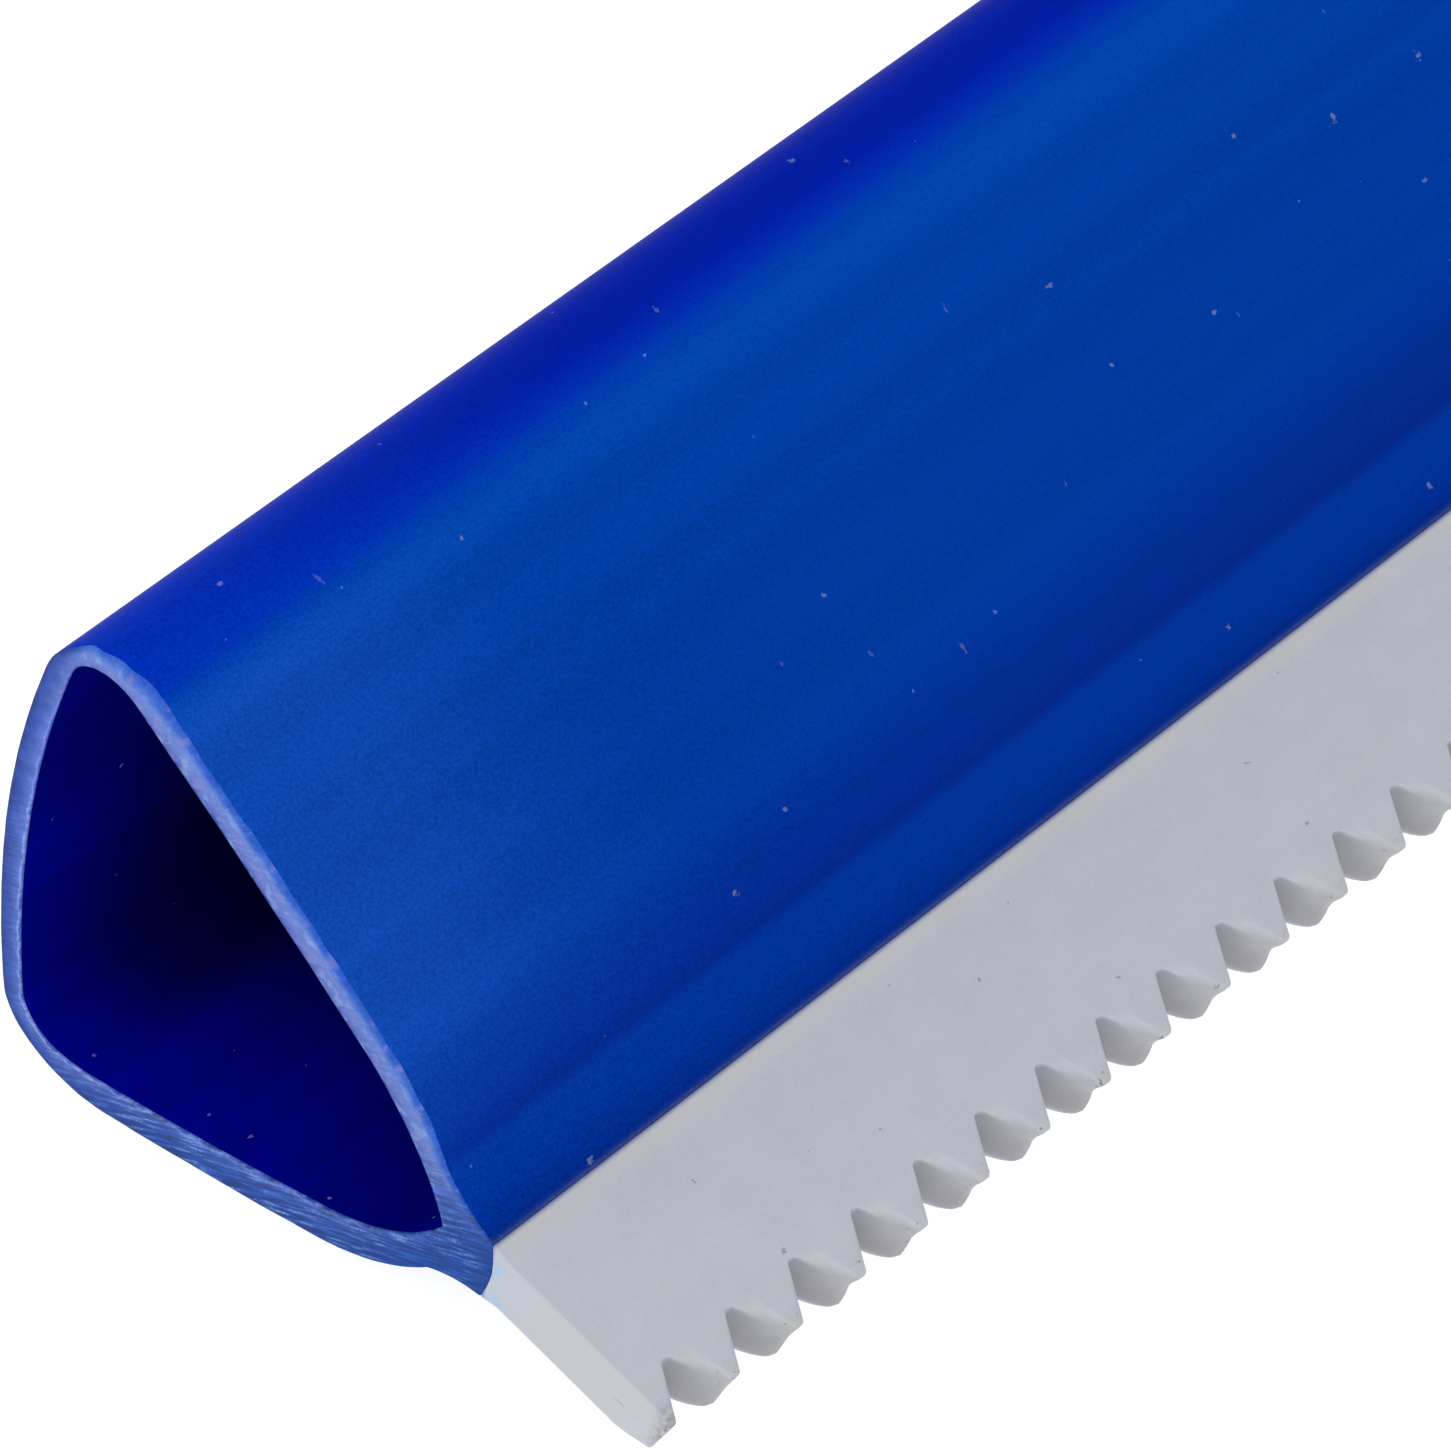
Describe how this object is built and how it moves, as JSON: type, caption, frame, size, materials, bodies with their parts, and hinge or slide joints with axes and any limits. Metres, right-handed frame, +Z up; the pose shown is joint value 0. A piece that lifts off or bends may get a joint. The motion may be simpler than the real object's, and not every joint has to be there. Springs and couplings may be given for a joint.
{
  "type": "notched trowel",
  "caption": "Hand trowel for spreading adhesive: a hollow rounded-triangle handle profile with a softer lip along its nose, cut into V notches at the free edge.",
  "frame": {"origin": "centre of the bounding box's underside, on the surface that the tool lies on", "axes": "+X along the length of the extrusion, +Y from the lip towards the back of the handle, +Z up, with the tool lying on one heel of the handle and the tip of its lip"},
  "size_m": [0.18, 0.0514, 0.037],
  "materials": {
    "handle_plastic": "satin, with fine extrusion lines along the length",
    "lip_plastic": "matte, soft touch"
  },
  "bodies": {
    "root": {"handle_profile": "handle_plastic", "notched_lip": "lip_plastic"}
  },
  "joints": []
}
